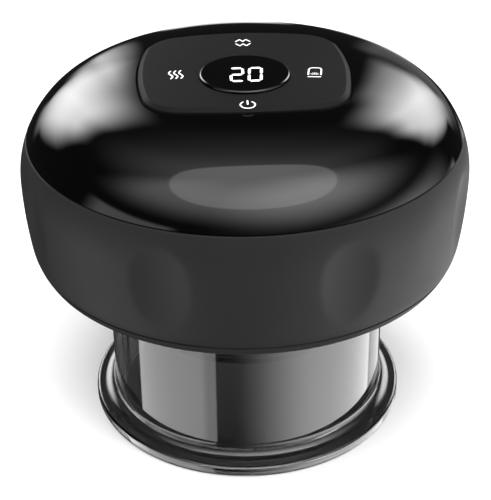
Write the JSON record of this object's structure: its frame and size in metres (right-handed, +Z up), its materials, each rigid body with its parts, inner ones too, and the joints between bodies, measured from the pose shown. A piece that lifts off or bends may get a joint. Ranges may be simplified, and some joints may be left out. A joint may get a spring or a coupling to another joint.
{
  "type": "electric cupping massager",
  "caption": "Domed hand-held cupping massager: gloss cap with touch panel and display, dimpled matte housing with a vacuum pump inside, and a clear smoked cup held by magnets below.",
  "frame": {"origin": "centre of the cup's foot ring, on the plane it stands on", "axes": "+Z up out of the cup along its axis, -Y towards the front, where the power symbol is, +X to the right, and the charging socket at +Y"},
  "size_m": [0.11, 0.11, 0.0925],
  "materials": {
    "gloss_cap": "polished",
    "housing": "fine matte texture",
    "panel": "satin",
    "display": "polished",
    "digits": "diffusing",
    "board": "solder mask",
    "board_black": "moulded",
    "sensor_can": "satin",
    "steel": "bright",
    "chassis": "moulded",
    "cell_wrap": "shrink film",
    "rim": "polished",
    "diffuser": "frosted",
    "lamp": "clear red",
    "plate": "satin",
    "film": "film",
    "white_plastic": "moulded",
    "felt": "open foam",
    "seal": "soft",
    "magnet": "plated",
    "smoked_clear": "clear, smoked",
    "bronze": "sintered",
    "ferrite": "sintered",
    "copper": "enamelled wire",
    "silicone": "soft"
  },
  "bodies": {
    "head": {"top_cover": "gloss_cap", "lower_housing": "housing", "bottom_cover": "housing", "touch_panel": "panel", "display_window": "display", "digits_module": "digits", "touch_board": "board", "led_board": "board", "main_board": "board", "charging_board": "board", "board_parts": "board_black", "pressure_sensor": "sensor_can", "shell_screws": "steel", "small_screws": "steel", "pump_screws": "steel", "charging_socket": "steel", "motor_can": "steel", "pump_strap": "steel", "valve_yoke": "steel", "valve_spring": "steel", "key_springs": "steel", "battery_tabs": "steel", "chassis": "chassis", "battery_cell": "cell_wrap", "boss_rim": "rim", "light_ring": "diffuser", "red_lamps": "lamp", "heating_plate": "plate", "heater": "film", "air_nozzle": "white_plastic", "air_cross": "white_plastic", "pump_body": "white_plastic", "valve_plate": "white_plastic", "pump_head": "white_plastic", "valve_seat": "white_plastic", "valve_bobbin": "white_plastic", "motor_cap": "white_plastic", "air_filter": "felt", "cup_seal": "seal", "pump_sleeve": "seal", "membrane": "seal", "valve_flaps": "seal", "cup_magnets": "magnet", "motor_bushes": "bronze", "motor_magnets": "ferrite", "valve_coil": "copper", "boss_hose": "silicone", "valve_hose": "silicone", "sensor_hose": "silicone"},
    "cup": {"cup": "smoked_clear", "cup_ring": "steel"},
    "rotor": {"motor_shaft": "steel", "armature": "steel", "windings": "copper", "commutator": "copper", "pump_crank": "white_plastic"},
    "wobble": {"wobble_pin": "steel", "wobble_plate": "white_plastic"},
    "plunger": {"valve_plunger": "steel", "plunger_pad": "seal"}
  },
  "joints": [
    {"name": "cup_release", "type": "slide", "parent": "head", "child": "cup", "axis": [0, 0, -1], "range_m": [0, 0.025]},
    {"name": "pump_spin", "type": "hinge", "parent": "head", "child": "rotor", "pos_m": [-0.003, -0.011, 0.0656], "axis": [1, 0, 0], "continuous": true},
    {"name": "wobble_spin", "type": "hinge", "parent": "rotor", "child": "wobble", "pos_m": [0.01, -0.011, 0.0656], "axis": [0.9903, 0, 0.1392], "continuous": true},
    {"name": "valve_slide", "type": "slide", "parent": "head", "child": "plunger", "axis": [0, 0, -1], "range_m": [0, 0.001], "stiffness_N_per_m": 200, "springref_m": -0.002, "deforming": ["valve_spring"]}
  ],
  "couplings": [
    {"joint": "wobble_spin", "follows": "pump_spin", "ratio": -1}
  ]
}
